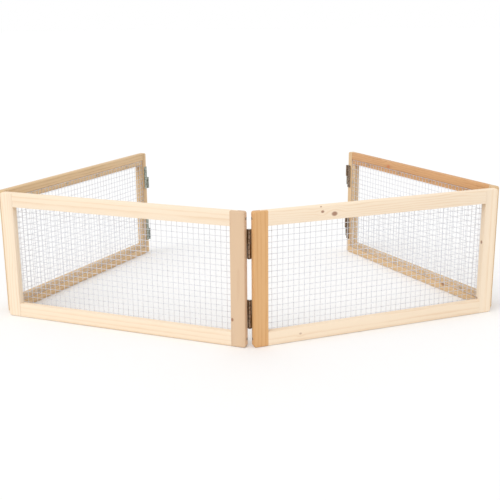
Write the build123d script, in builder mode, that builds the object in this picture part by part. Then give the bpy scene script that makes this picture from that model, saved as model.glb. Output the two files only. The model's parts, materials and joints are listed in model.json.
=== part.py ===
from build123d import *
from math import cos, floor, radians, sin
import os

os.makedirs("parts", exist_ok=True)

# Guinea pig run: four equal panels of planed pine with welded mesh, standing on edge and hooked
# together end to end by lift-off hinges on the inner faces. Millimetres, +Z up, front towards -Y.
# The origin is on the ground under the middle of the run's box.

# Panel frame
panel_length = 600.0
panel_height = 295.0
member_width = 32.0
member_thickness = 16.0
lip_width = 18.0
corner_round = 5.0
arris = 1.5

# Welded mesh
mesh_pitch = 12.7
wire_diameter = 1.0
mesh_margin = 1.0

# Staples over the mesh
staple_crown = 10.0
staple_gauge = 0.7
staple_width = 1.2
staple_bite = 6.0
staple_offset = 4.5
staple_spacing = 140.0

# Screws that hold each corner of a frame
frame_screw_radius = 1.6
frame_screw_head_radius = 3.0
frame_screw_length = 45.0
frame_screw_sunk = 0.8

# Lift-off hinges
hinge_height = 63.5
hinge_margin = 39.0
leaf_thickness = 1.5
leaf_width = 12.5
leaf_corner = 1.5
pin_radius = 2.0
pin_reach = 25.0
pin_swell = 0.4
socket_clearance = 0.08
knuckle_side_gap = 0.5
knuckle_end_gap = 0.6
roll_slit = 0.4
hinge_screw_radius = 1.5
hinge_screw_head_radius = 2.7
hinge_screw_length = 12.0
hinge_screw_inset = 11.5
screw_sides = 6
countersink_slope = 45

# How the run is set out, as the inside angle at each hinged corner
left_corner_angle = 85.5
centre_angle = 136.6
right_corner_angle = 84.2

# Sizes that follow from those
lap_depth = member_thickness / 2
rebate_depth = 2 * wire_diameter
rebate_width = member_width - lip_width
plan_corners = [
    (along, out)
    for cut in ((0, arris), (arris, 0))
    for along in (cut[0], panel_length - cut[0])
    for out in (cut[1], member_thickness - cut[1])
]
knuckle_radius = pin_radius + leaf_thickness
axis_offset = knuckle_radius + knuckle_side_gap
axis_inset = leaf_thickness / 2
axis_spacing = panel_length + 2 * axis_offset
knuckle_length = (hinge_height - knuckle_end_gap) / 2
hinge_foots = (hinge_margin, panel_height - hinge_margin - hinge_height)
hinge_screw_rises = (hinge_screw_inset, hinge_height - hinge_screw_inset)


def pitches_across(room):
    """How many whole mesh pitches fit between the lips, an even number so one wire is central."""
    return 2 * floor((room - 2 * lip_width - 2 * mesh_margin - wire_diameter) / (2 * mesh_pitch))


upright_pitches = pitches_across(panel_length)
cross_pitches = pitches_across(panel_height)
mesh_length = upright_pitches * mesh_pitch + wire_diameter
mesh_height = cross_pitches * mesh_pitch + wire_diameter
upright_overhang = (panel_height - mesh_height) / 2
cross_overhang = (panel_length - mesh_length) / 2


def staple_steps(pitches):
    """Wires that get a staple, counted in pitches from the middle wire, alike on both sides."""
    per_side = max(1, round(pitches * mesh_pitch / staple_spacing / 2))
    step = pitches / (2 * per_side)
    return [sign * floor(step * (index + 0.5)) for index in range(per_side) for sign in (-1, 1)]


rail_staples = [panel_length / 2 + k * mesh_pitch for k in staple_steps(upright_pitches)]
stile_staples = [panel_height / 2 + k * mesh_pitch for k in staple_steps(cross_pitches)]
rail_staple_rise = upright_overhang + wire_diameter / 2 + staple_offset
stile_staple_rise = cross_overhang + wire_diameter / 2 + staple_offset
leg_spacing = staple_crown - staple_gauge


def direction(heading):
    """Level unit vector at a heading in degrees, counted from +X towards +Y."""
    return Vector(cos(radians(heading)), sin(radians(heading)), 0)


# Each panel runs from its socket end to its pin end. The next one hooks on there and turns left.
panel_names = ["back_left", "front_left", "front_right", "back_right"]
front_turn = 180 - centre_angle
headings = [
    -front_turn / 2 - (180 - left_corner_angle),
    -front_turn / 2,
    front_turn / 2,
    front_turn / 2 + (180 - right_corner_angle),
]


def chain_axes(start):
    """Plan positions of the five hinge axes along the run, the two free ends included."""
    axes = [start]
    for heading in headings:
        axes.append(axes[-1] + direction(heading) * axis_spacing)
    return axes


def panel_plane(axis, heading):
    """A panel's plane on its inner face: X to the pin end, Y up, Z out of the run."""
    along = direction(heading)
    outwards = along.cross(Vector(0, 0, 1))
    return Plane(
        origin=axis + along * axis_offset + outwards * axis_inset,
        x_dir=along,
        z_dir=outwards,
    )


def plan_reach(axes):
    """Plan circles that bound the run: the two free knuckles and the panels' chamfered corners."""
    circles = [(axes[0], knuckle_radius), (axes[-1], knuckle_radius)]
    for axis, heading in zip(axes, headings):
        plane = panel_plane(axis, heading)
        for along, out in plan_corners:
            circles.append((plane.from_local_coords(Vector(along, 0, out)), 0))
    return circles


draft_reach = plan_reach(chain_axes(Vector(0, 0, 0)))
low_x = min(centre.X - radius for centre, radius in draft_reach)
high_x = max(centre.X + radius for centre, radius in draft_reach)
low_y = min(centre.Y - radius for centre, radius in draft_reach)
high_y = max(centre.Y + radius for centre, radius in draft_reach)
hinge_axes = chain_axes(Vector(-(low_x + high_x) / 2, -(low_y + high_y) / 2, 0))


def turned_over(plane):
    """The same panel's plane seen from the diagonally opposite corner of the frame."""
    return Plane(
        origin=plane.from_local_coords(Vector(panel_length, panel_height, 0)),
        x_dir=-plane.x_dir,
        z_dir=plane.z_dir,
    )


def level_plane(plane, rise):
    """A level plane above the panel's foot: X along the panel, Y towards the inside."""
    return Plane(
        origin=plane.from_local_coords(Vector(0, rise, 0)),
        x_dir=plane.x_dir,
        z_dir=Vector(0, 0, 1),
    )


def save(part, name):
    """Label one finished piece and write it."""
    part.label = name
    export_step(part, f"parts/{name}.step")


def frame_screw_seats(plane):
    """Seats of the two screws at the socket end of a frame, sunk in the stile's end edge."""
    return [
        Plane(
            origin=plane.from_local_coords(Vector(frame_screw_sunk, rise, lap_depth / 2)),
            x_dir=plane.y_dir,
            z_dir=-plane.x_dir,
        )
        for rise in (member_width / 2, panel_height - member_width / 2)
    ]


def leaf_screw_seats(plane, foot, along):
    """Seats of one leaf's screws, on the leaf's inner side and facing into the run."""
    return [
        Plane(
            origin=plane.from_local_coords(Vector(along, foot + rise, -leaf_thickness)),
            x_dir=plane.x_dir,
            z_dir=-plane.z_dir,
        )
        for rise in hinge_screw_rises
    ]


def screw_shape(seats, shank_radius, head_radius, length, sunk=0):
    """Countersunk screws, or the holes for them, the cone carried on outwards where they are sunk."""
    mouth_radius = head_radius + sunk
    with BuildPart() as screws:
        with BuildSketch(*[seat.offset(sunk) for seat in seats]):
            RegularPolygon(mouth_radius, screw_sides, major_radius=False)
        extrude(amount=shank_radius - mouth_radius, taper=countersink_slope)
        with BuildSketch(*seats):
            RegularPolygon(shank_radius, screw_sides, major_radius=False)
        extrude(amount=-length)
    return screws.part


def make_stile(name, plane):
    """Full-height upright, rebated for the mesh and notched for the rail tongues."""
    across = Axis(plane.origin, plane.x_dir)
    through = Axis(plane.origin, plane.z_dir)
    stile_hinge_screws = [foot + rise for foot in hinge_foots for rise in hinge_screw_rises]
    frame_screw_holes = screw_shape(
        frame_screw_seats(plane),
        frame_screw_radius,
        frame_screw_head_radius,
        member_width,
        sunk=frame_screw_sunk,
    )
    with BuildPart() as stile:
        with BuildSketch(plane):
            Rectangle(member_width, panel_height, align=Align.MIN)
        extrude(amount=member_thickness)
        fillet(stile.edges().filter_by(through).sort_by(across)[:2], radius=corner_round)
        broad_faces = stile.faces().sort_by(through)
        inner_rim = broad_faces[0].edges().sort_by(across)[:-1]
        outer_rim = broad_faces[-1].edges().sort_by(across)[:-1]
        chamfer(inner_rim + outer_rim, length=arris)
        with BuildSketch(plane):
            with Locations((lip_width, member_width)):
                Rectangle(rebate_width, panel_height - 2 * member_width, align=Align.MIN)
        extrude(amount=rebate_depth, mode=Mode.SUBTRACT)
        with BuildSketch(plane):
            with Locations((lip_width, 0), (lip_width, panel_height - member_width)):
                Rectangle(rebate_width, member_width, align=Align.MIN)
        extrude(amount=lap_depth, mode=Mode.SUBTRACT)
        with BuildSketch(plane.offset(rebate_depth)):
            with Locations(*[(stile_staple_rise, rise) for rise in stile_staples]):
                with GridLocations(0, leg_spacing, 1, 2):
                    Rectangle(staple_width, staple_gauge)
        extrude(amount=staple_bite, mode=Mode.SUBTRACT)
        with BuildSketch(plane):
            with Locations(*[(leaf_width / 2, rise) for rise in stile_hinge_screws]):
                RegularPolygon(hinge_screw_radius, screw_sides, major_radius=False)
        extrude(amount=hinge_screw_length - leaf_thickness, mode=Mode.SUBTRACT)
        add(frame_screw_holes, mode=Mode.SUBTRACT)
    save(stile.part, name)


def make_rail(name, plane):
    """Rail between the stiles, its inner half carried on as a tongue over each stile."""
    upwards = Axis(plane.origin, plane.y_dir)
    along = Axis(plane.origin, plane.x_dir)
    through = Axis(plane.origin, plane.z_dir)
    near_seats = [frame_screw_seats(plane)[0], frame_screw_seats(turned_over(plane))[1]]
    with BuildPart() as rail:
        with BuildSketch(plane):
            with Locations((lip_width, 0)):
                Rectangle(panel_length - 2 * lip_width, member_width, align=Align.MIN)
        extrude(amount=lap_depth)
        with BuildSketch(plane.offset(lap_depth)):
            with Locations((member_width, 0)):
                Rectangle(panel_length - 2 * member_width, member_width, align=Align.MIN)
        extrude(amount=member_thickness - lap_depth)
        broad_faces = rail.faces().filter_by(through).sort_by(through)
        inner_edges = broad_faces[0].edges().filter_by(along).sort_by(upwards)
        outer_edges = broad_faces[-1].edges().filter_by(along).sort_by(upwards)
        chamfer([inner_edges[0], outer_edges[0]], length=arris)
        with BuildSketch(plane):
            with Locations((lip_width, lip_width)):
                Rectangle(panel_length - 2 * lip_width, rebate_width, align=Align.MIN)
        extrude(amount=rebate_depth, mode=Mode.SUBTRACT)
        with BuildSketch(plane.offset(rebate_depth)):
            with Locations(*[(spot, rail_staple_rise) for spot in rail_staples]):
                with GridLocations(leg_spacing, 0, 2, 1):
                    Rectangle(staple_gauge, staple_width)
        extrude(amount=staple_bite, mode=Mode.SUBTRACT)
        with BuildSketch(*near_seats):
            RegularPolygon(frame_screw_radius, screw_sides, major_radius=False)
        extrude(amount=-frame_screw_length, mode=Mode.SUBTRACT)
    save(rail.part, name)


def make_mesh(uprights_name, crosswires_name, plane):
    """Welded mesh in the rebate: upright wires on the wood, cross wires against their inner side."""
    foot = level_plane(plane, upright_overhang)
    with BuildPart() as uprights:
        with BuildSketch(foot):
            with Locations((panel_length / 2, -rebate_depth + wire_diameter / 2)):
                with GridLocations(mesh_pitch, 0, upright_pitches + 1, 1):
                    Rectangle(wire_diameter, wire_diameter)
        extrude(amount=mesh_height)
    save(uprights.part, uprights_name)
    left = Plane(
        origin=plane.from_local_coords(Vector(cross_overhang, 0, 0)), x_dir=plane.y_dir, z_dir=plane.x_dir
    )
    with BuildPart() as crosswires:
        with BuildSketch(left):
            with Locations((panel_height / 2, wire_diameter / 2)):
                with GridLocations(mesh_pitch, 0, cross_pitches + 1, 1):
                    Rectangle(wire_diameter, wire_diameter)
        extrude(amount=mesh_length)
    save(crosswires.part, crosswires_name)


def make_staples(name, plane):
    """All staples of one panel, each astride a wire with its legs in the wood."""
    leg_tip = rebate_depth + staple_bite
    inwards = -plane.z_dir
    spots = []
    for end in (plane, turned_over(plane)):
        for spot in rail_staples:
            seat = end.from_local_coords(Vector(spot, rail_staple_rise, wire_diameter))
            spots.append((seat, plane.x_dir, leg_tip - wire_diameter))
        for rise in stile_staples:
            seat = end.from_local_coords(Vector(stile_staple_rise, rise, 0))
            spots.append((seat, plane.y_dir, leg_tip))
    with BuildPart() as staples:
        for seat, crown_dir, leg in spots:
            with BuildSketch(Plane(origin=seat, x_dir=crown_dir, z_dir=crown_dir.cross(inwards))):
                with Locations((0, staple_gauge)):
                    Rectangle(staple_crown, leg + staple_gauge, align=(Align.CENTER, Align.MAX))
                Rectangle(
                    staple_crown - 2 * staple_gauge,
                    leg,
                    align=(Align.CENTER, Align.MAX),
                    mode=Mode.SUBTRACT,
                )
            extrude(amount=staple_width / 2, both=True)
    save(staples.part, name)


def make_screws(name, seats, shank_radius, head_radius, length):
    """A set of countersunk screws, each with its head's flat face on its seat plane."""
    save(screw_shape(seats, shank_radius, head_radius, length), name)


def make_leaf(name, plane, foot, at_pin_end):
    """One hinge half: a plate, a knuckle rolled from its edge and, at the pin end, its fixed pin.

    The pin is swelled where it is riveted in the knuckle, which keeps it from turning or dropping.
    """
    edge, side = (panel_length, 1) if at_pin_end else (0, -1)
    inwards_align, outwards_align = (Align.MAX, Align.MIN) if at_pin_end else (Align.MIN, Align.MAX)
    hollow_radius = pin_radius + socket_clearance
    knuckle_foot = foot + hinge_height - knuckle_length if at_pin_end else foot
    plate_middle = edge - side * leaf_width / 2
    axis_spot = (edge + side * axis_offset, axis_inset)
    through = Axis(plane.origin, plane.z_dir)
    away = Axis(plane.origin, plane.x_dir * -side)
    screw_holes = screw_shape(
        leaf_screw_seats(plane, foot, plate_middle),
        hinge_screw_radius,
        hinge_screw_head_radius,
        leaf_thickness,
    )
    with BuildPart() as leaf:
        with BuildSketch(level_plane(plane, foot)):
            with Locations((plate_middle, leaf_thickness / 2)):
                Rectangle(leaf_width, leaf_thickness)
        extrude(amount=hinge_height)
        chamfer(leaf.edges().filter_by(through).sort_by(away)[-2:], length=leaf_corner)
        with BuildSketch(level_plane(plane, knuckle_foot)):
            with Locations(axis_spot):
                Circle(knuckle_radius)
                with Locations((0, axis_inset)):
                    Rectangle(axis_offset, roll_slit, align=(inwards_align, Align.MIN), mode=Mode.SUBTRACT)
            with Locations((edge, 0)):
                Rectangle(axis_offset - pin_radius, leaf_thickness, align=(outwards_align, Align.MIN))
            with Locations(axis_spot):
                if at_pin_end:
                    Circle(pin_radius + pin_swell)
                else:
                    Circle(hollow_radius, mode=Mode.SUBTRACT)
        extrude(amount=knuckle_length)
        if at_pin_end:
            with BuildSketch(level_plane(plane, knuckle_foot)):
                with Locations(axis_spot):
                    Circle(pin_radius)
            extrude(amount=-pin_reach)
        add(screw_holes, mode=Mode.SUBTRACT)
    save(leaf.part, name)


for panel, axis, heading in zip(panel_names, hinge_axes, headings):
    plane = panel_plane(axis, heading)
    make_stile(f"{panel}_socket_stile", plane)
    make_stile(f"{panel}_pin_stile", turned_over(plane))
    make_rail(f"{panel}_bottom_rail", plane)
    make_rail(f"{panel}_top_rail", turned_over(plane))
    make_mesh(f"{panel}_mesh_uprights", f"{panel}_mesh_crosswires", plane)
    make_staples(f"{panel}_staples", plane)
    make_screws(
        f"{panel}_frame_screws",
        frame_screw_seats(plane) + frame_screw_seats(turned_over(plane)),
        frame_screw_radius,
        frame_screw_head_radius,
        frame_screw_length,
    )
    leaf_seats = []
    for position, foot in zip(("lower", "upper"), hinge_foots):
        make_leaf(f"{panel}_{position}_socket_leaf", plane, foot, at_pin_end=False)
        make_leaf(f"{panel}_{position}_pin_leaf", plane, foot, at_pin_end=True)
        for along in (leaf_width / 2, panel_length - leaf_width / 2):
            leaf_seats += leaf_screw_seats(plane, foot, along)
    make_screws(
        f"{panel}_hinge_screws",
        leaf_seats,
        hinge_screw_radius,
        hinge_screw_head_radius,
        hinge_screw_length,
    )
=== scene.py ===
import json
import logging
import math
import random
from dataclasses import dataclass, field
from enum import Enum
from typing import Any, Callable, Iterable, Sequence

import bmesh
import bpy
from mathutils import Matrix, Vector


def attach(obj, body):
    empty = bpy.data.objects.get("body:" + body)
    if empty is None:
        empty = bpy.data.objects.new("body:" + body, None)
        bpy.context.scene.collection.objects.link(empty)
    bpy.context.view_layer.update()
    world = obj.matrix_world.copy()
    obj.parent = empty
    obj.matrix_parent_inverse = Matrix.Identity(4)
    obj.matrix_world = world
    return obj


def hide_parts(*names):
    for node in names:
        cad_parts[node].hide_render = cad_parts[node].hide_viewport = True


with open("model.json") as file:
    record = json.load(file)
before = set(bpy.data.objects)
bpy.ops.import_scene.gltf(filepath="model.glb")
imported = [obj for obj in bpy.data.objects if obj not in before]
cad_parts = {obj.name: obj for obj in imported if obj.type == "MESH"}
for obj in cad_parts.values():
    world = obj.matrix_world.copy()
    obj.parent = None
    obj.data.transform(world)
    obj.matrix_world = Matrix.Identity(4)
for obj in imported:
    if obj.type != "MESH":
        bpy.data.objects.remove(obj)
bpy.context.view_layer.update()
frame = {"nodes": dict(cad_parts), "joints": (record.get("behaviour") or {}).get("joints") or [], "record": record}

LOG = logging.getLogger("guinea_pig_run")

# Panel sizes in millimetres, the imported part's own except for ARRIS, a little wider than its chamfer
# because it is round, and SEAM, the softening of every other wooden edge
PANEL_LENGTH = 600.0
PANEL_HEIGHT = 295.0
MEMBER_WIDTH = 32.0
THICKNESS = 16.0
LIP = 18.0
LAP = 8.0
REBATE = 2.0
CORNER_ROUND = 5.0
ARRIS = 2.0
SEAM = 0.35

# Welded mesh
PITCH = 12.7
WIRE = 1.0
WELD = 0.75
WELD_FLATNESS = 0.6
UPRIGHT_PITCHES = 44
CROSS_PITCHES = 20
WIRE_SIDES = 10

# Staples
STAPLE_CROWN = 10.0
STAPLE_GAUGE = 0.7
STAPLE_WIDTH = 1.2
STAPLE_LEG = 7.0
STAPLE_BEND = 0.6
RAIL_STAPLE_STEPS = (-16, -5, 5, 16)
STILE_STAPLE_STEPS = (-5, 5)
STAPLE_OFFSET = 4.5

# Screws
FRAME_HEAD = 3.0
FRAME_SHANK = 1.6
FRAME_SUNK = 0.8
FRAME_SCREW_LENGTH = 45.0
HINGE_HEAD = 2.7
HINGE_SHANK = 1.45
HINGE_SCREW_LENGTH = 12.0
RECESS_WIDTH = 0.55
RECESS_REACH = 0.62
RECESS_DEPTH = 0.8

# Hinges
HINGE_HEIGHT = 63.5
HINGE_MARGIN = 39.0
LEAF = 1.5
LEAF_WIDTH = 12.5
LEAF_CORNER = 1.5
AXIS_OFFSET = 4.0
AXIS_INSET = 0.75
PIN_RADIUS = 2.0
PIN_REACH = 25.0
PIN_TAPER = 1.0
SOCKET_RADIUS = 2.08
KNUCKLE_RADIUS = 3.5
KNUCKLE_LENGTH = 31.45
ROLL_SLIT = 0.4
WEB_OVERLAP = 0.5
SCREW_INSET = 11.5

# How far a cutter runs past what it cuts, how near to a place an edge counts as being on it, and how far
# a screw's bore starts inside its countersink
PAST = 1.0
NEAR = 0.01
WELL_OVERLAP = 0.2

HINGE_FOOTS = (HINGE_MARGIN, PANEL_HEIGHT - HINGE_MARGIN - HINGE_HEIGHT)
SCREW_RISES = (SCREW_INSET, HINGE_HEIGHT - SCREW_INSET)
TO_METRES = Matrix.Scale(0.001, 4)
TURNED_OVER = Matrix.Translation((PANEL_LENGTH, PANEL_HEIGHT, 0)) @ Matrix.Rotation(math.pi, 4, "Z")

# A knot's length along the grain for each width across it
KNOT_STRETCH = 1.35

# Camera, matched to the photo's perspective
CAMERA_AT = Vector((0.0050, -2.1328, 0.6901))
CAMERA_YAW = math.radians(-0.10)
CAMERA_PITCH = math.radians(15.27)
CAMERA_ROLL = math.radians(-0.45)
SENSOR = 36.0
FOCAL_SHARE = 877.2 / 500


class Grain(Enum):
    """Which way a member's grain runs in its panel."""

    ALONG = "along"
    UPRIGHT = "upright"


class Socket:
    """A shader socket that can be reckoned with by the usual operators."""

    def __init__(self, shader: "Shader", output: Any) -> None:
        """Keep the shader that owns the socket.

        Args:
            shader: The shader being built.
            output: A node's output socket.
        """
        self.shader = shader
        self.output = output

    def _math(self, operation: str, *values: Any) -> "Socket":
        """Return the result of one of Blender's math operations."""
        return self.shader.node("ShaderNodeMath", {"operation": operation}, dict(enumerate(values)))

    def __add__(self, other: Any) -> "Socket":
        return self._math("ADD", self, other)

    def __sub__(self, other: Any) -> "Socket":
        return self._math("SUBTRACT", self, other)

    def __mul__(self, other: Any) -> "Socket":
        return self._math("MULTIPLY", self, other)

    def __truediv__(self, other: Any) -> "Socket":
        return self._math("DIVIDE", self, other)

    def fraction(self) -> "Socket":
        """Return what is left above the whole number below."""
        return self._math("FRACT", self)

    def root(self) -> "Socket":
        """Return the square root."""
        return self._math("SQRT", self)

    def ramp(self, low: float, high: float, to_low: float = 0.0, to_high: float = 1.0) -> "Socket":
        """Carry a range smoothly over to another.

        Args:
            low: Value that gives to_low.
            high: Value that gives to_high.
            to_low: Result at and below low.
            to_high: Result at and above high.

        Returns:
            The result as a socket.
        """
        return self.shader.node(
            "ShaderNodeMapRange",
            {"interpolation_type": "SMOOTHSTEP"},
            {"Value": self, "From Min": low, "From Max": high, "To Min": to_low, "To Max": to_high},
        )


class Shader:
    """One node material under construction."""

    def __init__(self, name: str) -> None:
        """Start an empty material with one surface shader.

        Args:
            name: The material's name.
        """
        self.material = bpy.data.materials.new(name)
        self.material.use_nodes = True
        self.tree = self.material.node_tree
        self.surface = self.tree.nodes["Principled BSDF"]

    def node(self, kind: str, settings: dict[str, Any], values: dict[Any, Any], out: Any = 0) -> Socket:
        """Make a node, apply its settings and feed its sockets.

        Args:
            kind: Blender's node type.
            settings: Attributes that are set first.
            values: Input names or numbers with plain values or sockets.
            out: The output that is handed back.

        Returns:
            The chosen output as a socket.
        """
        made = self.tree.nodes.new(kind)
        for key, value in settings.items():
            setattr(made, key, value)
        for key, value in values.items():
            self.feed(made.inputs[key], value)
        return Socket(self, made.outputs[out])

    def feed(self, target: Any, value: Any) -> None:
        """Link a socket to an input, or set the input's plain value.

        Args:
            target: The input socket.
            value: A Socket, a number or a tuple.
        """
        if isinstance(value, Socket):
            self.tree.links.new(value.output, target)
        else:
            target.default_value = value

    def set(self, **values: Any) -> None:
        """Set the surface's inputs.

        Args:
            values: Input names with underscores for blanks.
        """
        for key, value in values.items():
            self.feed(self.surface.inputs[key.replace("_", " ")], value)

    def split(self, vector: Socket) -> list[Socket]:
        """Return a vector's three parts."""
        first = self.node("ShaderNodeSeparateXYZ", {}, {0: vector})
        return [Socket(self, first.output.node.outputs[i]) for i in range(3)]

    def join(self, x: Any, y: Any, z: Any) -> Socket:
        """Return a vector made of three parts."""
        return self.node("ShaderNodeCombineXYZ", {}, {0: x, 1: y, 2: z})

    def noise(self, vector: Socket, scale: float, detail: float = 2.0) -> Socket:
        """Return plain noise between 0 and 1 over a vector."""
        return self.node("ShaderNodeTexNoise", {}, {"Vector": vector, "Scale": scale, "Detail": detail})

    def mix(self, share: Any, first: Any, second: Any) -> Socket:
        """Return a colour between two others."""
        return self.node(
            "ShaderNodeMix",
            {"data_type": "RGBA"},
            {"Factor": share, 6: first, 7: second},
            out=2,
        )

    def bump(self, height: Socket, depth: float, strength: float = 1.0) -> Socket:
        """Return a normal roughened by a height."""
        values = {"Height": height, "Distance": depth, "Strength": strength}
        return self.node("ShaderNodeBump", {}, values)


def linear(red: int, green: int, blue: int) -> tuple[float, float, float, float]:
    """Turn a screen colour from 0 to 255, none of it nearly black, into a linear one."""
    return (*[((level / 255 + 0.055) / 1.055) ** 2.4 for level in (red, green, blue)], 1.0)


@dataclass(frozen=True)
class Knot:
    """A knot in a member: a ball round a point, in millimetres of the member's own grain frame.

    It lies on the outer face, unless deep gives its distance from the inner one. Darkness is the share
    of its own tone at the core.
    """

    along: float
    across: float
    radius: float
    darkness: float = 0.75
    tone: tuple[float, float, float, float] = linear(134, 70, 34)
    deep: float = THICKNESS


@dataclass(frozen=True)
class PineFinish:
    """Planed pine with its own tone, figure and knots."""

    name: str
    early: tuple[float, float, float, float]
    late: tuple[float, float, float, float]
    seed: int
    contrast: float = 0.42
    ring_pitch: float = 4.2
    knots: tuple[Knot, ...] = ()

    def around_knots(
        self, flow: Socket, timber: list[Socket], bend: Socket
    ) -> tuple[Socket, list[Socket]]:
        """Lead the grain round each knot.

        Args:
            flow: The undisturbed height across the grain.
            timber: The place along, across and through the grain.
            bend: Uneven noise round zero.

        Returns:
            The height with the knots' swerves, and each knot's share of its own tone.
        """
        along, across, deep = timber
        cores = []
        for knot in self.knots:
            level = (along - knot.along) / KNOT_STRETCH
            rise = across - knot.across
            inward = deep - knot.deep
            reach = (level * level + rise * rise + inward * inward).root()
            nearby = reach.ramp(knot.radius * 0.8, knot.radius * 5.0, 0.85, 0.0)
            flow = flow - (flow - knot.across) * nearby
            ragged = reach + bend * knot.radius
            cores.append(ragged.ramp(knot.radius * 0.5, knot.radius * 1.25, knot.darkness, 0.0))
        return flow, cores

    def material(self) -> Any:
        """Return the finish as a material: rings round a pith beside the member, fibres and stains."""
        shader = Shader(self.name)
        place = shader.node("ShaderNodeAttribute", {"attribute_name": "timber"}, {}, out="Vector")
        along, across, deep = timber = shader.split(place)
        dice = random.Random(self.seed)
        shift = dice.uniform(0, 900)

        def drawn_out(length: float, width: float, detail: float) -> Socket:
            """Return noise in patches of a length along the grain and a width, in millimetres."""
            patch = shader.join(along / length + shift, across / width, deep / width)
            return shader.noise(patch, 1.0, detail)

        sway = shader.noise(shader.join(along / 240 + shift, across / 46, deep / 40), 1.0, 3.0) - 0.5
        bend = drawn_out(90, 30, 2.0) - 0.5
        flow, cores = self.around_knots(across + sway * 15 + bend * 4, timber, bend)
        rise = flow - dice.uniform(-40, 70)
        fall = deep + dice.uniform(24, 60)
        phase = ((rise * rise + fall * fall).root() / self.ring_pitch + sway * 1.2).fraction()
        band = phase.ramp(0.35, 0.88) * phase.ramp(0.9, 1.0, 1.0, 0.0)
        fibre = drawn_out(22, 1 / 1.1, 3.0)
        cloud = drawn_out(130, 24, 2.0)
        share = band * self.contrast + (fibre - 0.5) * 0.5 + (cloud - 0.5) * 0.7
        tone = shader.mix(share.ramp(0.0, 1.0), self.early, self.late)
        for core, knot in zip(cores, self.knots):
            tone = shader.mix(core, tone, knot.tone)
        shader.set(
            Base_Color=tone,
            Roughness=fibre.ramp(0.2, 0.8, 0.5, 0.66),
            Specular_IOR_Level=0.35,
            Normal=shader.bump(fibre * 0.6 + band * 0.4, 0.00012, 0.5),
        )
        return shader.material


@dataclass(frozen=True)
class MetalFinish:
    """Plated metal with a faint uneven tone."""

    name: str
    bright: tuple[float, float, float, float]
    dull: tuple[float, float, float, float]
    roughness: float
    grain: float = 260.0
    metallic: float = 1.0

    def material(self) -> Any:
        """Return the finish as a material."""
        shader = Shader(self.name)
        place = shader.node("ShaderNodeTexCoord", {}, {}, out="Object")
        cloud = shader.noise(place, self.grain, 3.0)
        fine = shader.noise(place, self.grain * 7, 2.0)
        shader.set(
            Base_Color=shader.mix(cloud.ramp(0.35, 0.65), self.bright, self.dull),
            Roughness=fine.ramp(0.2, 0.8, self.roughness * 0.8, self.roughness * 1.2),
            Metallic=self.metallic,
            Normal=shader.bump(fine, 0.00004, 0.35),
        )
        return shader.material


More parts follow.
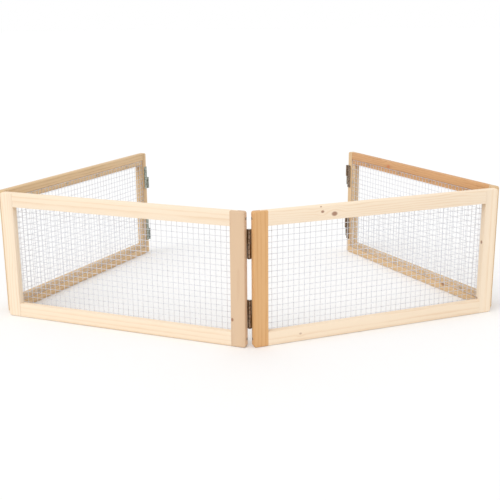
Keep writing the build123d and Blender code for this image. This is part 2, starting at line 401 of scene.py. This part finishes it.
class Bench:
    """Mesh work with Blender's own modelling operators, in millimetres of the panel's frame."""

    @staticmethod
    def only(thing: Any) -> Any:
        """Deselect all and make one object the active one."""
        if bpy.context.object and bpy.context.object.mode != "OBJECT":
            bpy.ops.object.mode_set(mode="OBJECT")
        bpy.ops.object.select_all(action="DESELECT")
        thing.select_set(True)
        bpy.context.view_layer.objects.active = thing
        return thing

    @staticmethod
    def block(low: Sequence[float], high: Sequence[float]) -> Any:
        """Return a box between two corners."""
        middle = [(a + b) / 2 for a, b in zip(low, high)]
        bpy.ops.mesh.primitive_cube_add(size=1, location=middle)
        made = bpy.context.object
        made.scale = [b - a for a, b in zip(low, high)]
        bpy.ops.object.transform_apply(location=True, rotation=True, scale=True)
        return made

    @staticmethod
    def rod(
        start: Vector, end: Vector, radius: float, tip: float | None = None, sides: int = 24
    ) -> Any:
        """Return a round bar or cone between two points."""
        way = end - start
        bpy.ops.mesh.primitive_cone_add(
            vertices=sides,
            radius1=radius,
            radius2=radius if tip is None else tip,
            depth=way.length,
            location=(start + end) / 2,
            rotation=way.to_track_quat("Z", "Y").to_euler(),
        )
        bpy.ops.object.transform_apply(location=True, rotation=True, scale=True)
        return bpy.context.object

    @classmethod
    def bevel(
        cls, thing: Any, wanted: Callable[[Vector, Vector], bool], offset: float, segments: int
    ) -> Any:
        """Bevel the edges whose two ends pass a test."""
        cls.only(thing)
        bpy.ops.object.mode_set(mode="EDIT")
        bpy.ops.mesh.select_mode(type="EDGE")
        bpy.ops.mesh.select_all(action="DESELECT")
        shape = bmesh.from_edit_mesh(thing.data)
        for edge in shape.edges:
            if wanted(edge.verts[0].co, edge.verts[1].co):
                edge.select_set(True)
        bmesh.update_edit_mesh(thing.data)
        bpy.ops.mesh.bevel(offset=offset, segments=segments, affect="EDGES", clamp_overlap=True)
        bpy.ops.object.mode_set(mode="OBJECT")
        return thing

    @classmethod
    def cut(cls, thing: Any, cutters: Iterable[Any]) -> Any:
        """Take the cutters out of a solid and delete them."""
        tool = cls.joined(list(cutters))
        cls.only(thing)
        made = thing.modifiers.new("cut", "BOOLEAN")
        made.operation = "DIFFERENCE"
        made.solver = "EXACT"
        made.use_self = True
        made.object = tool
        bpy.ops.object.modifier_apply(modifier=made.name)
        bpy.data.objects.remove(tool)
        return thing

    @classmethod
    def fuse(cls, thing: Any, other: Any) -> Any:
        """Unite two solids into the first."""
        cls.only(thing)
        made = thing.modifiers.new("fuse", "BOOLEAN")
        made.operation = "UNION"
        made.solver = "EXACT"
        made.object = other
        bpy.ops.object.modifier_apply(modifier=made.name)
        bpy.data.objects.remove(other)
        return thing

    @classmethod
    def soften(cls, thing: Any, width: float, segments: int = 2, angle: float = 35.0) -> Any:
        """Round off every sharp edge a little."""
        cls.only(thing)
        made = thing.modifiers.new("soften", "BEVEL")
        made.width = width
        made.segments = segments
        made.limit_method = "ANGLE"
        made.angle_limit = math.radians(angle)
        bpy.ops.object.modifier_apply(modifier=made.name)
        return thing

    @classmethod
    def joined(cls, things: Sequence[Any]) -> Any:
        """Join several objects into the first."""
        bpy.ops.object.select_all(action="DESELECT")
        for thing in things:
            thing.select_set(True)
        bpy.context.view_layer.objects.active = things[0]
        if len(things) > 1:
            bpy.ops.object.join()
        return things[0]

    @classmethod
    def row(cls, thing: Any, step: Vector, count: int) -> Any:
        """Repeat an object a number of times, a step apart."""
        cls.only(thing)
        made = thing.modifiers.new("row", "ARRAY")
        made.use_relative_offset = False
        made.use_constant_offset = True
        made.constant_offset_displace = step
        made.count = count
        bpy.ops.object.modifier_apply(modifier=made.name)
        return thing

    @staticmethod
    def copied(thing: Any, matrix: Matrix) -> Any:
        """Return a copy with its own mesh, carried by a matrix."""
        twin = thing.copy()
        twin.data = thing.data.copy()
        twin.data.transform(matrix)
        if matrix.determinant() < 0:
            twin.data.flip_normals()
        bpy.context.scene.collection.objects.link(twin)
        return twin

    @classmethod
    def smooth(cls, thing: Any, angle: float = 32.0) -> Any:
        """Shade smooth across edges shallower than an angle."""
        cls.only(thing)
        bpy.ops.object.shade_smooth_by_angle(angle=math.radians(angle))
        return thing


@dataclass
class Member:
    """A wooden member, modelled at the socket end or the foot of a panel."""

    grain: Grain
    shape: Any = field(default=None)

    def record_grain(self) -> None:
        """Store each vertex's place along, across and through the grain."""
        layer = self.shape.data.attributes.new("timber", "FLOAT_VECTOR", "POINT")
        for vertex, item in zip(self.shape.data.vertices, layer.data):
            x, y, z = vertex.co
            item.vector = (x, y, z) if self.grain is Grain.ALONG else (y, x, z)


class Stile(Member):
    """Full-height upright with rebate, notches and screw wells."""

    def mesh(self) -> Any:
        """Model the stile.

        Returns:
            The finished object in the panel's frame.
        """
        block = Bench.block((0, 0, 0), (MEMBER_WIDTH, PANEL_HEIGHT, THICKNESS))

        def at_end_corner(a: Vector, b: Vector) -> bool:
            """Pick the edges through the stile at its outer corners."""
            return abs(a.z - b.z) > NEAR and max(a.x, b.x) < NEAR

        def on_rim(a: Vector, b: Vector) -> bool:
            """Pick the rims of both broad faces, except where the rails meet them."""
            return abs(a.z - b.z) < NEAR and min(a.x, b.x) < MEMBER_WIDTH - NEAR

        Bench.bevel(block, at_end_corner, CORNER_ROUND, 7)
        Bench.bevel(block, on_rim, ARRIS, 4)
        top_notch = PANEL_HEIGHT - MEMBER_WIDTH
        edge = MEMBER_WIDTH + PAST
        cutters = [
            Bench.block((LIP, MEMBER_WIDTH, -PAST), (edge, top_notch, REBATE)),
            Bench.block((LIP, -PAST, -PAST), (edge, MEMBER_WIDTH, LAP)),
            Bench.block((LIP, top_notch, -PAST), (edge, PANEL_HEIGHT + PAST, LAP)),
        ]
        for cutter in cutters:
            Bench.cut(block, [cutter])
        for rise in (MEMBER_WIDTH / 2, PANEL_HEIGHT - MEMBER_WIDTH / 2):
            mouth = Vector((-PAST, rise, LAP / 2))
            foot = Vector((FRAME_SUNK + FRAME_HEAD - FRAME_SHANK, rise, LAP / 2))
            bottom = Vector((LIP + PAST, rise, LAP / 2))
            back = Vector((WELL_OVERLAP, 0, 0))
            Bench.cut(block, [Bench.rod(mouth, foot, FRAME_HEAD + FRAME_SUNK + PAST, FRAME_SHANK, 28)])
            Bench.cut(block, [Bench.rod(foot - back, bottom, FRAME_SHANK, sides=20)])
        Bench.soften(block, SEAM)
        self.shape = Bench.smooth(block)
        self.record_grain()
        return self.shape


class Rail(Member):
    """Rail with its rebate and its two lap tongues."""

    def mesh(self) -> Any:
        """Model the rail.

        Returns:
            The finished object in the panel's frame.
        """
        block = Bench.block((LIP, 0, 0), (PANEL_LENGTH - LIP, MEMBER_WIDTH, THICKNESS))

        def on_outer_edge(a: Vector, b: Vector) -> bool:
            """Pick the two long edges that face away from the mesh."""
            return max(a.y, b.y) < NEAR and abs(a.x - b.x) > NEAR

        Bench.bevel(block, on_outer_edge, ARRIS, 4)
        far = PANEL_LENGTH - LIP + PAST
        top = MEMBER_WIDTH + PAST
        outside = THICKNESS + PAST
        cutters = [
            Bench.block((LIP - PAST, -PAST, LAP), (MEMBER_WIDTH, top, outside)),
            Bench.block((PANEL_LENGTH - MEMBER_WIDTH, -PAST, LAP), (far, top, outside)),
            Bench.block((LIP - PAST, LIP, -PAST), (far, top, REBATE)),
        ]
        for cutter in cutters:
            Bench.cut(block, [cutter])
        Bench.soften(block, SEAM)
        self.shape = Bench.smooth(block)
        self.record_grain()
        return self.shape


class WireMesh:
    """Welded mesh: one layer of upright wires, one of cross wires, and the welds between."""

    @staticmethod
    def layer(start: Vector, end: Vector, step: Vector, count: int) -> Any:
        """Model one layer of parallel wires."""
        first = Bench.rod(start, end, WIRE / 2, sides=WIRE_SIDES)
        Bench.soften(first, 0.12, 1, 60.0)
        return Bench.smooth(Bench.row(first, step, count), 60.0)

    @classmethod
    def uprights(cls) -> Any:
        """Model the upright wires, on the rebate's floor."""
        left = PANEL_LENGTH / 2 - UPRIGHT_PITCHES * PITCH / 2
        low = PANEL_HEIGHT / 2 - (CROSS_PITCHES * PITCH + WIRE) / 2
        deep = REBATE - WIRE / 2
        start = Vector((left, low, deep))
        end = Vector((left, PANEL_HEIGHT - low, deep))
        return cls.layer(start, end, Vector((PITCH, 0, 0)), UPRIGHT_PITCHES + 1)

    @classmethod
    def crosswires(cls) -> Any:
        """Model the cross wires with the weld nuggets against the uprights."""
        left = PANEL_LENGTH / 2 - (UPRIGHT_PITCHES * PITCH + WIRE) / 2
        low = PANEL_HEIGHT / 2 - CROSS_PITCHES * PITCH / 2
        start = Vector((left, low, WIRE / 2))
        end = Vector((PANEL_LENGTH - left, low, WIRE / 2))
        wires = cls.layer(start, end, Vector((0, PITCH, 0)), CROSS_PITCHES + 1)
        spot = (left + WIRE / 2, low, WIRE)
        bpy.ops.mesh.primitive_ico_sphere_add(subdivisions=1, radius=WELD, location=spot)
        weld = bpy.context.object
        weld.scale = (1.0, 1.0, WELD_FLATNESS)
        bpy.ops.object.transform_apply(location=True, rotation=True, scale=True)
        Bench.row(weld, Vector((PITCH, 0, 0)), UPRIGHT_PITCHES + 1)
        Bench.row(weld, Vector((0, PITCH, 0)), CROSS_PITCHES + 1)
        Bench.smooth(weld, 80.0)
        return Bench.joined([wires, weld])


class Staples:
    """The staples of one panel."""

    @staticmethod
    def one() -> Any:
        """Model a staple at the origin: crown along X, legs towards +Z."""
        half = STAPLE_CROWN / 2
        inner = half - STAPLE_GAUGE
        broad = STAPLE_WIDTH / 2
        staple = Bench.block((-half, -broad, -STAPLE_GAUGE), (half, broad, STAPLE_LEG))
        hollow = Bench.block((-inner, -broad - PAST, 0), (inner, broad + PAST, STAPLE_LEG + PAST))
        Bench.cut(staple, [hollow])

        def at_shoulder(a: Vector, b: Vector) -> bool:
            """Pick the two bends between the crown and the legs."""
            return max(a.z, b.z) < NEAR - STAPLE_GAUGE and abs(a.y - b.y) > NEAR and abs(a.x) > NEAR

        Bench.bevel(staple, at_shoulder, STAPLE_BEND, 3)
        Bench.soften(staple, 0.15, 1)
        return Bench.smooth(staple)

    @classmethod
    def mesh(cls) -> Any:
        """Model all staples of a panel."""
        template = cls.one()
        rail_rise = (PANEL_HEIGHT - CROSS_PITCHES * PITCH) / 2 + STAPLE_OFFSET
        stile_rise = (PANEL_LENGTH - UPRIGHT_PITCHES * PITCH) / 2 + STAPLE_OFFSET
        made = []
        for side in (Matrix.Identity(4), TURNED_OVER):
            for step in RAIL_STAPLE_STEPS:
                seat = Matrix.Translation((PANEL_LENGTH / 2 + step * PITCH, rail_rise, WIRE))
                made.append(Bench.copied(template, side @ seat))
            for step in STILE_STAPLE_STEPS:
                seat = Matrix.Translation((stile_rise, PANEL_HEIGHT / 2 + step * PITCH, 0))
                made.append(Bench.copied(template, side @ seat @ Matrix.Rotation(math.pi / 2, 4, "Z")))
        bpy.data.objects.remove(template)
        return Bench.joined(made)


@dataclass(frozen=True)
class Screw:
    """A countersunk screw with a cross recess, its head's face at z = 0 and its shank down -Z."""

    head: float
    shank: float
    length: float

    def mesh(self) -> Any:
        """Model the screw at the origin."""
        depth = self.head - self.shank
        screw = Bench.rod(Vector((0, 0, 0)), Vector((0, 0, -depth)), self.head, self.shank, 28)
        neck = Vector((0, 0, 0.1 - depth))
        Bench.fuse(screw, Bench.rod(neck, Vector((0, 0, -self.length)), self.shank, sides=20))
        arm = self.head * RECESS_REACH
        half = RECESS_WIDTH / 2
        for x, y in ((arm, half), (half, arm)):
            Bench.cut(screw, [Bench.block((-x, -y, -depth * RECESS_DEPTH), (x, y, PAST))])
        Bench.soften(screw, 0.08, 2)
        return Bench.smooth(screw)

    def group(self, seats: Sequence[Matrix]) -> Any:
        """Model a set of screws, one on each seat, their recesses turned at random."""
        template = self.mesh()
        dice = random.Random(len(seats))
        made = []
        for seat in seats:
            turn = Matrix.Rotation(dice.uniform(0, math.pi), 4, "Z")
            made.append(Bench.copied(template, seat @ turn))
        bpy.data.objects.remove(template)
        return Bench.joined(made)


class Hinge:
    """One lift-off hinge's halves, at the panel's socket end or pin end."""

    @staticmethod
    def knuckle(edge: float, side: int, low: float) -> Any:
        """Model the eye rolled from the leaf's edge, with its bore and the slit where the roll ends.

        Args:
            edge: Where the panel ends.
            side: 1 where the panel's length runs towards the axis, else -1.
            low: Height of the knuckle's lower end.

        Returns:
            The knuckle with the web that joins it to the plate.
        """
        axis = edge + side * AXIS_OFFSET
        high = low + KNUCKLE_LENGTH
        start, end = (Vector((axis, height, -AXIS_INSET)) for height in (low, high))
        past = Vector((0, PAST, 0))
        made = Bench.rod(start, end, KNUCKLE_RADIUS, sides=40)
        web_low, web_high = sorted((edge - side * WEB_OVERLAP, axis))
        Bench.fuse(made, Bench.block((web_low, low, -LEAF), (web_high, high, 0)))
        slit_low, slit_high = sorted((axis, edge - side * PAST))
        slit = Bench.block((slit_low, low - PAST, -LEAF - ROLL_SLIT), (slit_high, high + PAST, -LEAF))
        Bench.cut(made, [slit])
        return Bench.cut(made, [Bench.rod(start - past, end + past, SOCKET_RADIUS, sides=36)])

    @classmethod
    def leaf(cls, at_pin_end: bool, foot: float) -> Any:
        """Model a plate with its rolled knuckle.

        Args:
            at_pin_end: True for the half that holds the pin.
            foot: Height of the leaf's lower edge.

        Returns:
            The leaf in the panel's frame.
        """
        edge, side = (PANEL_LENGTH, 1) if at_pin_end else (0.0, -1)
        far = edge - side * LEAF_WIDTH
        low = foot + HINGE_HEIGHT - KNUCKLE_LENGTH if at_pin_end else foot

        def at_free_corner(a: Vector, b: Vector) -> bool:
            """Pick the plate's two corners away from the knuckle."""
            return abs(a.z - b.z) > NEAR and abs(a.x - far) < NEAR

        plate = Bench.block((min(edge, far), foot, -LEAF), (max(edge, far), foot + HINGE_HEIGHT, 0))
        Bench.bevel(plate, at_free_corner, LEAF_CORNER, 5)
        Bench.fuse(plate, cls.knuckle(edge, side, low))
        middle = (edge + far) / 2
        for rise in SCREW_RISES:
            outer = Vector((middle, foot + rise, -LEAF - WELL_OVERLAP))
            neck = Vector((middle, foot + rise, -LEAF + HINGE_HEAD - HINGE_SHANK))
            through = Vector((middle, foot + rise, PAST))
            Bench.cut(plate, [Bench.rod(outer, neck, HINGE_HEAD + WELL_OVERLAP, HINGE_SHANK, 28)])
            Bench.cut(plate, [Bench.rod(outer, through, HINGE_SHANK, sides=24)])
        Bench.soften(plate, 0.22, 2)
        return Bench.smooth(plate)

    @staticmethod
    def pin(foot: float) -> Any:
        """Model a fixed pin with its tapered tip."""
        axis = PANEL_LENGTH + AXIS_OFFSET
        top = foot + HINGE_HEIGHT
        tip = top - KNUCKLE_LENGTH - PIN_REACH
        start, end = (Vector((axis, height, -AXIS_INSET)) for height in (tip, top))
        made = Bench.rod(start, end, PIN_RADIUS, sides=32)
        Bench.bevel(made, lambda a, b: max(a.y, b.y) < tip + NEAR, PIN_TAPER, 2)
        Bench.soften(made, 0.2, 2)
        return Bench.smooth(made)


@dataclass
class Panel:
    """One panel of the run, placed between two hinge axes."""

    name: str
    socket_axis: Vector
    pin_axis: Vector
    finishes: dict[str, Any]

    def matrix(self) -> Matrix:
        """Return the panel frame's place in the row's frame, from millimetres to metres."""
        along = (self.pin_axis - self.socket_axis).normalized()
        outwards = along.cross(Vector((0, 0, 1)))
        origin = self.socket_axis + along * AXIS_OFFSET / 1000 + outwards * AXIS_INSET / 1000
        turn = Matrix((along, Vector((0, 0, 1)), outwards)).transposed().to_4x4()
        return Matrix.Translation(origin) @ turn @ TO_METRES

    def place(self, template: Any, piece: str, turned: bool, finish: Any, replaced: str | None) -> Any:
        """Copy a template into the panel and let it ride on the panel's body.

        Args:
            template: The object modelled in the panel's frame.
            piece: The new piece's name.
            turned: True to use the template at the diagonally opposite corner.
            finish: The material.
            replaced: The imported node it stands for, if any.

        Returns:
            The new piece.
        """
        carry = self.matrix() @ TURNED_OVER if turned else self.matrix()
        made = Bench.copied(template, carry)
        made.name = piece
        made.data.name = piece
        made.data.materials.clear()
        made.data.materials.append(finish)
        if replaced:
            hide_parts(replaced)
        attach(made, f"{self.name}_panel")
        return made


class Timbers:
    """The sixteen members' finishes: mostly cream in the front panels, mostly tan in the rear ones."""

    FIRST_SEED = 11
    CREAM = (linear(250, 230, 204), linear(236, 204, 168))
    TAN = (linear(222, 190, 148), linear(184, 146, 102))
    PINK = (linear(221, 190, 157), linear(198, 158, 125))
    BROWN = (linear(216, 166, 116), linear(184, 128, 82))
    ORANGE = (linear(224, 176, 122), linear(200, 143, 86))

    @classmethod
    def all(cls) -> dict[str, PineFinish]:
        """Return a finish for every member, by node name."""
        tones = {
            "back_left_socket_stile": cls.TAN,
            "back_left_pin_stile": cls.TAN,
            "back_left_bottom_rail": cls.TAN,
            "back_left_top_rail": cls.TAN,
            "front_left_socket_stile": cls.CREAM,
            "front_left_pin_stile": cls.PINK,
            "front_left_bottom_rail": cls.CREAM,
            "front_left_top_rail": cls.CREAM,
            "front_right_socket_stile": cls.ORANGE,
            "front_right_pin_stile": cls.CREAM,
            "front_right_bottom_rail": cls.CREAM,
            "front_right_top_rail": cls.CREAM,
            "back_right_socket_stile": cls.TAN,
            "back_right_pin_stile": cls.TAN,
            "back_right_bottom_rail": cls.TAN,
            "back_right_top_rail": cls.BROWN,
        }
        far, top = PANEL_LENGTH, PANEL_HEIGHT
        knots = {
            "front_right_top_rail": (
                Knot(far - 156, 13, 3.0),
                Knot(far - 184, 20, 5.0),
                Knot(far - 152, 2, 2.0, 0.6),
            ),
            "front_right_bottom_rail": (Knot(107, 17, 2.4, 0.4),),
            "front_left_pin_stile": (Knot(top - 60, 29, 3.2),),
            "front_right_pin_stile": (Knot(top - 35, 32, 2.6, deep=5), Knot(top - 171, 32, 4.2, deep=9)),
            "back_right_bottom_rail": (Knot(161, 17, 5.0, 0.6, deep=0),),
            "back_right_top_rail": (Knot(far - 407, 14, 5.5, 0.7, linear(206, 112, 62), deep=0),),
            "back_right_pin_stile": (Knot(top - 102, 27, 2.6, 0.7, deep=0),),
        }
        return {
            node: PineFinish(f"pine_{node}", early, late, seed, knots=knots.get(node, ()))
            for seed, (node, (early, late)) in enumerate(tones.items(), cls.FIRST_SEED)
        }


GALVANISED = MetalFinish(
    "galvanised_wire", linear(234, 235, 240), linear(208, 209, 216), 0.45, metallic=0.35
)
STAPLE_STEEL = MetalFinish("staple_steel", linear(196, 196, 194), linear(160, 160, 158), 0.38)
ZINC = MetalFinish("zinc_screw", linear(188, 182, 168), linear(150, 144, 130), 0.34)
DARK_SCREW = MetalFinish("dark_screw", linear(92, 70, 52), linear(64, 50, 38), 0.42)
BRONZE = MetalFinish("bronzed_hinge", linear(158, 136, 116), linear(92, 76, 60), 0.2)
PALE_ZINC = MetalFinish("pale_zinc_hinge", linear(178, 184, 174), linear(128, 134, 124), 0.3)
PIN_STEEL = MetalFinish("pin_steel", linear(206, 206, 204), linear(176, 176, 174), 0.25)


class Run:
    """The whole run: templates modelled once, then placed in each of the four panels."""

    NAMES = ("back_left", "front_left", "front_right", "back_right")

    def __init__(self) -> None:
        """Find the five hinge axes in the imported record."""
        mounts = {mount["name"]: Vector(mount["pos_m"]) for mount in frame["record"]["mounts"]}
        joints = {joint["name"]: Vector(joint["pos_m"]) for joint in frame["joints"]}
        line = [
            mounts["lower_free_socket"],
            joints["left_corner_hinge"],
            joints["centre_hinge"],
            joints["right_corner_hinge"],
            mounts["lower_free_pin"],
        ]
        self.axes = [Vector((spot.x, spot.y, 0)) for spot in line]

    @staticmethod
    def hinge_screw_seats() -> list[Matrix]:
        """Return the seats of a panel's eight hinge screws, facing into the run."""
        facing = Matrix.Rotation(math.pi, 4, "X")
        return [
            Matrix.Translation((along, foot + rise, -LEAF + 0.05)) @ facing
            for along in (LEAF_WIDTH / 2, PANEL_LENGTH - LEAF_WIDTH / 2)
            for foot in HINGE_FOOTS
            for rise in SCREW_RISES
        ]

    @staticmethod
    def frame_screw_seats() -> list[Matrix]:
        """Return the seats of a panel's four frame screws, facing out of its ends."""
        facing = Matrix.Rotation(-math.pi / 2, 4, "Y")
        return [
            end @ Matrix.Translation((FRAME_SUNK, rise, LAP / 2)) @ facing
            for end in (Matrix.Identity(4), TURNED_OVER)
            for rise in (MEMBER_WIDTH / 2, PANEL_HEIGHT - MEMBER_WIDTH / 2)
        ]

    def build(self) -> None:
        """Model the templates, place the pieces and remove the templates."""
        timbers = {node: finish.material() for node, finish in Timbers.all().items()}
        wire, steel, zinc = GALVANISED.material(), STAPLE_STEEL.material(), ZINC.material()
        dark, bronze, bright = DARK_SCREW.material(), BRONZE.material(), PIN_STEEL.material()
        pale = PALE_ZINC.material()
        stile = Stile(Grain.UPRIGHT).mesh()
        rail = Rail(Grain.ALONG).mesh()
        hinge_screw = Screw(HINGE_HEAD, HINGE_SHANK, HINGE_SCREW_LENGTH)
        frame_screw = Screw(FRAME_HEAD, FRAME_SHANK, FRAME_SCREW_LENGTH)
        whole = {
            "mesh_uprights": (WireMesh.uprights(), wire),
            "mesh_crosswires": (WireMesh.crosswires(), wire),
            "staples": (Staples.mesh(), steel),
            "hinge_screws": (hinge_screw.group(self.hinge_screw_seats()), zinc),
            "frame_screws": (frame_screw.group(self.frame_screw_seats()), dark),
        }
        for position, foot in zip(("lower", "upper"), HINGE_FOOTS):
            whole[f"{position}_socket_leaf"] = (Hinge.leaf(False, foot), bronze)
            whole[f"{position}_pin_leaf"] = (Hinge.leaf(True, foot), bronze)
            whole[f"{position}_pin"] = (Hinge.pin(foot), bright)
        for index, name in enumerate(self.NAMES):
            panel = Panel(name, self.axes[index], self.axes[index + 1], timbers)
            for kind, template, turned in (
                ("socket_stile", stile, False),
                ("pin_stile", stile, True),
                ("bottom_rail", rail, False),
                ("top_rail", rail, True),
            ):
                node = f"{name}_{kind}"
                panel.place(template, f"{node}_planed", turned, timbers[node], node)
            for kind, (template, finish) in whole.items():
                node = f"{name}_{kind}"
                replaced = node if node in frame["nodes"] else None
                if name == "back_left" and kind.endswith("socket_leaf"):
                    finish = pale
                panel.place(template, f"{node}_shown", False, finish, replaced)
            LOG.info("placed %s", name)
        for template in (stile, rail, *(pair[0] for pair in whole.values())):
            bpy.data.objects.remove(template)


class Studio:
    """Floor, light and camera."""

    SUN_POWER = 0.85
    SUN_SIDE = Vector((-0.5, -0.45, 1.0))
    SUN_WIDTH = math.radians(40)
    SKY_STRENGTH = 0.86

    def build(self) -> None:
        """Make the floor, the sky, the sun and the camera."""
        self.floor()
        self.sky()
        self.sun()
        self.camera()

    @staticmethod
    def floor() -> None:
        """Lay a pale plain floor."""
        bpy.ops.mesh.primitive_plane_add(size=60, location=(0, 0, -0.0005))
        made = bpy.context.object
        made.name = "floor"
        shader = Shader("floor")
        shader.set(Base_Color=(0.94, 0.94, 0.94, 1.0), Roughness=1.0, Specular_IOR_Level=0.0)
        made.data.materials.append(shader.material)

    def sky(self) -> None:
        """Light evenly from a white sky that the camera sees as plain white."""
        world = bpy.data.worlds.new("sky")
        bpy.context.scene.world = world
        world.use_nodes = True
        tree = world.node_tree
        back = tree.nodes["Background"]
        path = tree.nodes.new("ShaderNodeLightPath")
        level = tree.nodes.new("ShaderNodeMapRange")
        level.inputs["To Min"].default_value = self.SKY_STRENGTH
        level.inputs["To Max"].default_value = 1.0
        tree.links.new(path.outputs["Is Camera Ray"], level.inputs["Value"])
        tree.links.new(level.outputs["Result"], back.inputs["Strength"])
        back.inputs["Color"].default_value = (1.0, 1.0, 1.0, 1.0)

    def sun(self) -> None:
        """Light the run softly from the front left, alike over the whole floor."""
        light = bpy.data.lights.new("sun", "SUN")
        light.energy = self.SUN_POWER
        light.angle = self.SUN_WIDTH
        made = bpy.data.objects.new("sun", light)
        made.rotation_euler = (-self.SUN_SIDE).to_track_quat("-Z", "Y").to_euler()
        bpy.context.scene.collection.objects.link(made)

    @staticmethod
    def camera() -> None:
        """Set the camera at the photo's place and angle."""
        lens = bpy.data.cameras.new("camera")
        lens.sensor_width = SENSOR
        lens.lens = FOCAL_SHARE * SENSOR
        level = math.cos(CAMERA_PITCH)
        ahead, aside = math.cos(CAMERA_YAW), math.sin(CAMERA_YAW)
        forward = Vector((aside * level, ahead * level, -math.sin(CAMERA_PITCH)))
        right = Matrix.Rotation(-CAMERA_ROLL, 3, forward) @ Vector((ahead, -aside, 0))
        upward = right.cross(forward)
        basis = Matrix((right, upward, -forward)).transposed().to_4x4()
        made = bpy.data.objects.new("camera", lens)
        made.matrix_world = Matrix.Translation(CAMERA_AT) @ basis
        bpy.context.scene.collection.objects.link(made)
        bpy.context.scene.camera = made


def main() -> None:
    """Build the run and its setting."""
    logging.basicConfig(level=logging.INFO)
    Run().build()
    Studio().build()
    bpy.context.scene.view_settings.view_transform = "Standard"


if __name__ == "__main__":
    main()
